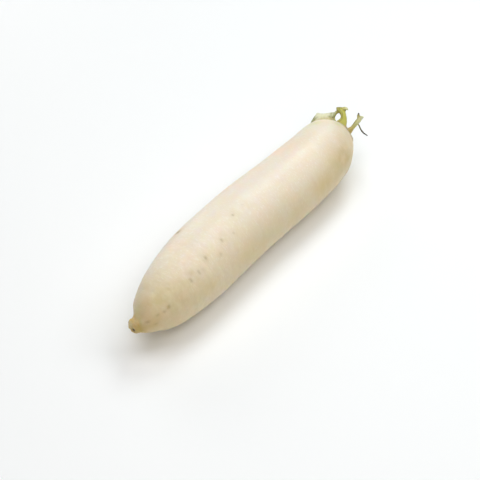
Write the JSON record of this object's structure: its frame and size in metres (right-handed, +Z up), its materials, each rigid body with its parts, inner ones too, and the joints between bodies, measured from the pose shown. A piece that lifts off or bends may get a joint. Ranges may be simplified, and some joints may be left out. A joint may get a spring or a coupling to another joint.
{
  "type": "daikon radish",
  "caption": "Daikon radish: long ivory root lying on its side, with a stubby tail nub and a crown ringed by short cut leaf stalks.",
  "frame": {"origin": "on the surface that the root lies on, under the middle of its bounding box", "axes": "+X along the root from the tail nub to the crown, +Y to the left seen from the tail, +Z up"},
  "size_m": [0.2716, 0.057, 0.0527],
  "materials": {
    "root_skin": "waxy satin skin, ivory to straw",
    "stalk_pale": "moist translucent leaf base, pale green",
    "stalk_olive": "moist leaf stalk, olive to yellow green",
    "bud_green": "moist young leaf, yellow green"
  },
  "bodies": {
    "root": {"root": "root_skin", "stalk_left": "stalk_pale", "stalk_middle": "stalk_olive", "stalk_right": "stalk_olive", "stalk_outer_1": "stalk_pale", "stalk_outer_2": "stalk_pale", "stalk_outer_3": "stalk_pale", "stalk_outer_4": "stalk_pale", "stalk_outer_5": "stalk_pale", "stalk_inner_1": "stalk_pale", "stalk_inner_2": "stalk_pale", "stalk_inner_3": "stalk_pale", "stalk_inner_4": "stalk_pale", "stalk_inner_5": "stalk_pale", "bud_leaf_1": "bud_green", "bud_leaf_2": "bud_green"}
  },
  "joints": []
}
